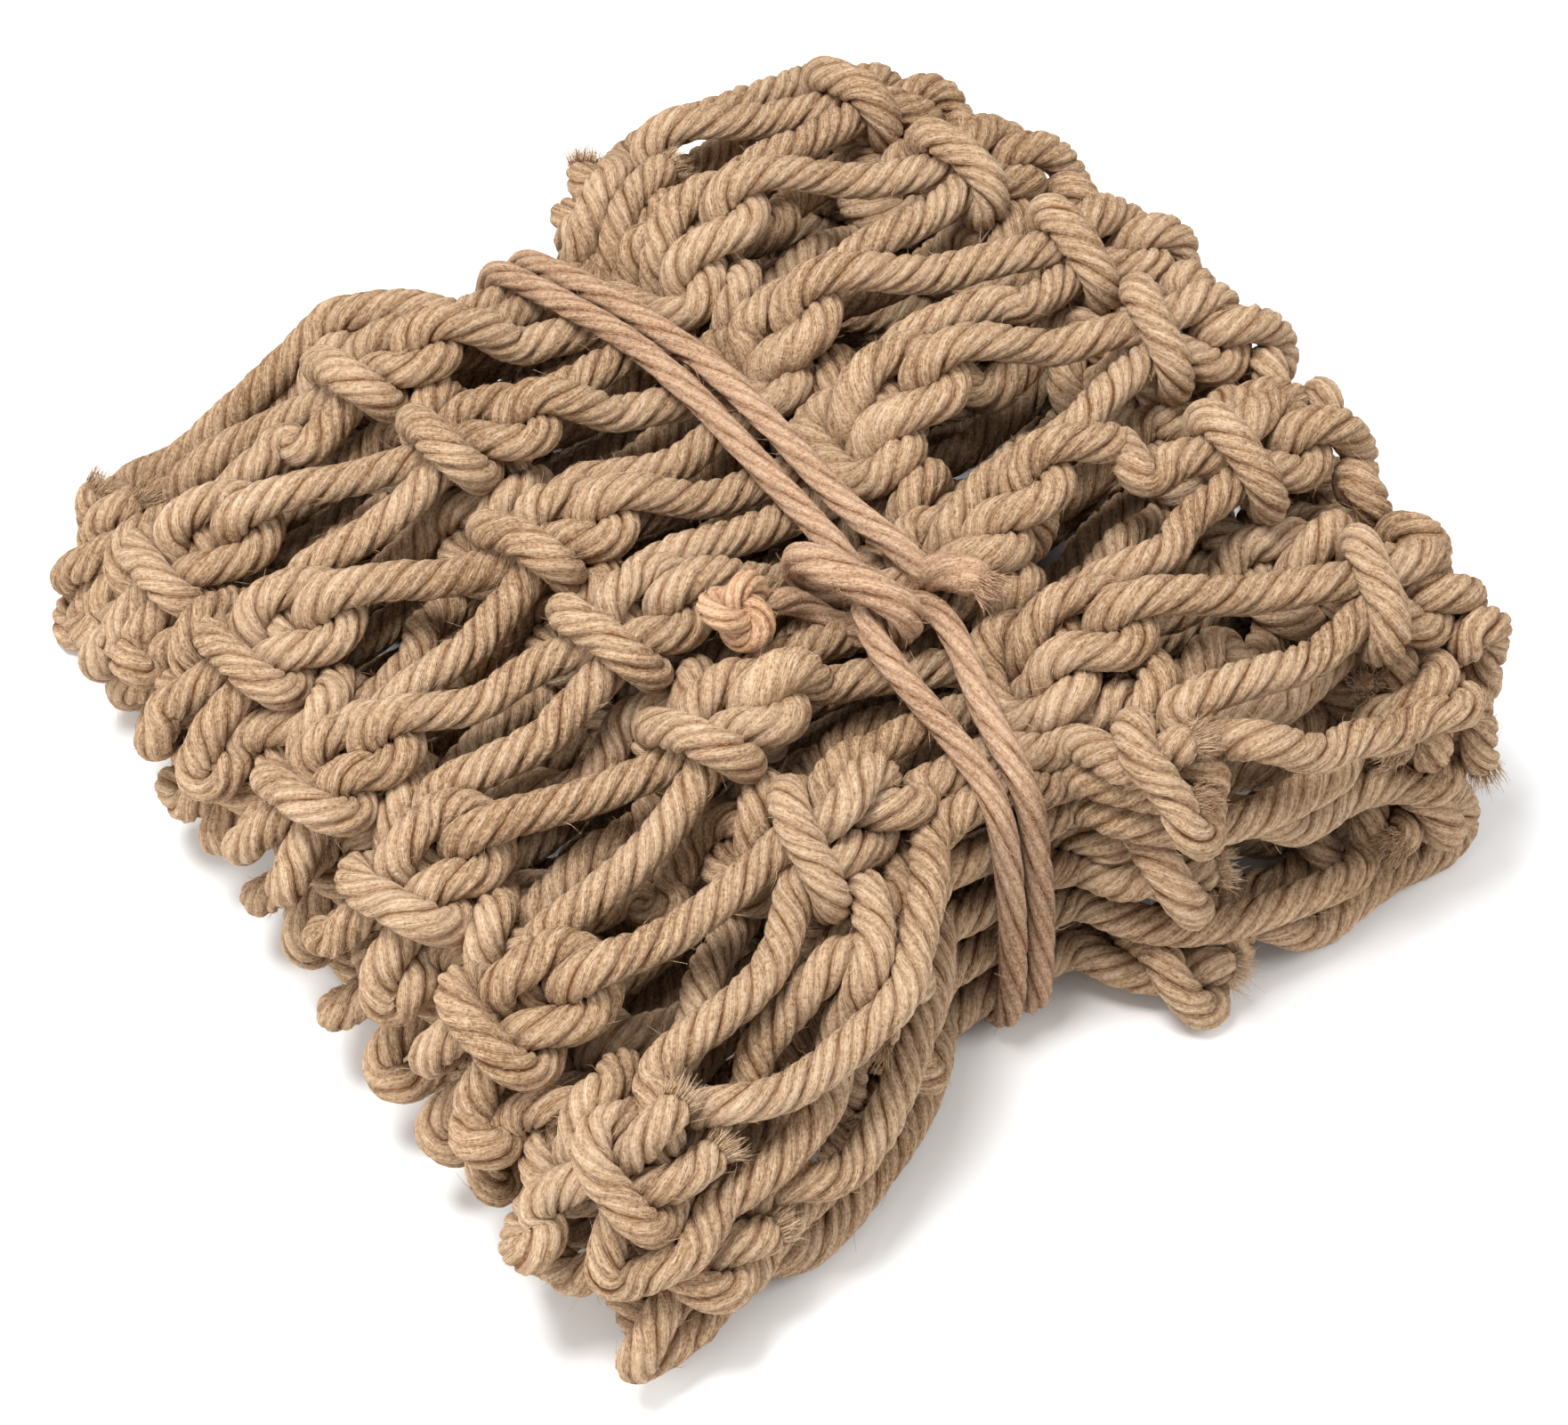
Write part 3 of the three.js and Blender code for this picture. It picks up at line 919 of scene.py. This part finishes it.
def tie_turn(lane, spread):
    """A turn of the tie in its lane; in front it swings out by spread."""
    loop = turn_from_knot(lane)
    y, z = loop.T
    on_top = smooth_step(z, 0.04, 0.08)
    x = lane + tie_shift(y, z) + spread * on_top * bump(y, -0.062, 0.024)
    return np.stack([x, y, z + 0.003 * on_top * bump(y, KNOT_Y, 0.020)], axis=1)


def tie_route():
    """Both turns as one line, and the height of the first turn where the hitch crosses it."""
    left_turn = tie_turn(LEFT_LANE, LEFT_SPREAD)
    right_turn = tie_turn(RIGHT_LANE, RIGHT_SPREAD)
    crossing = smooth_step(-left_turn[:, 1], 0.032, 0.052)
    crossing[: len(left_turn) // 2] = 0
    left_turn[:, 0] += CROSSING * crossing
    right_turn = right_turn[2:]
    going_down = np.arange(len(right_turn)) < len(right_turn) // 2
    right_turn = right_turn[going_down | (right_turn[:, 1] > -0.041)]
    last = right_turn[-1, 2]
    cord_end = np.array([(0.0182, -0.0455, last), (0.0195, -0.0515, last - 0.001)])
    route = np.concatenate([left_turn, right_turn, cord_end])
    front = -route[:, 1]
    under_hitch = smooth_step(front, 0.027, 0.037) * (1 - smooth_step(front, 0.050, 0.060))
    under_hitch[np.abs(np.arange(len(route)) - len(left_turn)) > 8] = 0
    route[:, 2] -= HITCH_DIP * under_hitch
    route = even(route, 0.004)
    for _ in range(3):
        route[1:-1] = 0.5 * route[1:-1] + 0.25 * (route[:-2] + route[2:])
    return route, float(np.interp(-KNOT_Y, -left_turn[-6:, 1], left_turn[-6:, 2]))


tie_path, plane = tie_route()
tie_skin, tie_fibres, tie_line = tie_parts("tie_turns", tie_path)
tie_nap = mesh_piece("tie_nap", tie_fibres, tie_material)
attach(tie_nap, "pack")
tie = mesh_piece("tie_turns", tie_skin, tie_material)
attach(tie, "pack")
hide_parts("tie_cord")

# The hitch: a cord end comes in from the right, dives under both strands, rises on the left,
# crosses over them and goes back under to the left, where it becomes the free tail. Both routes
# are in millimetres, with z measured from the height of the turns.
HITCH = np.array([
    (28, -64, 3.5), (25.5, -57, 3.5), (22, -50, 0.5), (16.5, -43, -6.5), (9, -37, -10), (1, -31.5, -9),
    (-3.8, -28, -3.5), (-5.0, -29.5, 3), (-4.2, -36.2, 7.0), (-2, -44.7, 8.7), (1.5, -53.2, 8.7),
    (5.2, -58.8, 5.0), (6.5, -58, -3), (4, -51, -10), (-2, -43, -11),
]) / 1000
HITCH[:, 2] += plane
TAIL = np.array([(4, -51, -10), (-2, -43, -11), (-7, -38, -7.5), (-11.5, -36.5, -2.5), (-16.5, -36.5, 1.0),
                 (-21, -37, 2.5)]) / 1000
TAIL[:, 2] += plane
hitch_skin, hitch_fibres, _ = tie_parts("tie_band", HITCH, BAND, cut_ends=(0,))
hitch = mesh_piece("tie_band", hitch_skin + hitch_fibres, tie_material)
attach(hitch, "pack")
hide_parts("tie_hitch")


def stopper_points(middle, size):
    """A small overhand knot drawn tight, three lobes showing on top."""
    t = np.linspace(0.5, 2 * math.pi + 0.15, 40)
    flat = np.stack([np.sin(t) + 2 * np.sin(2 * t), np.cos(t) - 2 * np.cos(2 * t), -np.sin(3 * t)], axis=1)
    tilt = math.radians(35)
    y, z = flat[:, 1].copy(), flat[:, 2].copy()
    flat[:, 1] = y * math.cos(tilt) - z * math.sin(tilt)
    flat[:, 2] = y * math.sin(tilt) + z * math.cos(tilt)
    return middle + size * flat


tail_skin, tail_fibres, _ = tie_parts("tie_free_tail", TAIL)
tail = mesh_piece("tie_free_tail", tail_skin + tail_fibres, tie_material)
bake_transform(tail)
knot_source = np.random.default_rng(SEED)
knot_middle = TAIL[-1] + np.array([-0.007, 0.0005, 0.002])
knot_skin, knot_line, knot_axes = rope_skin(stopper_points(knot_middle, 0.0026), STOPPER_ROPE, STOPPER_LAY,
                                            STOPPER_RINGS, knot_source, 0.16, 0.12, 0.03)
knot_fibres = rope_fibres(knot_line, knot_axes, STOPPER_ROPE, knot_source)
stopper = mesh_piece("stopper_knot", knot_skin + knot_fibres, knot_material)
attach(stopper, "tail")
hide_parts("tie_tail")
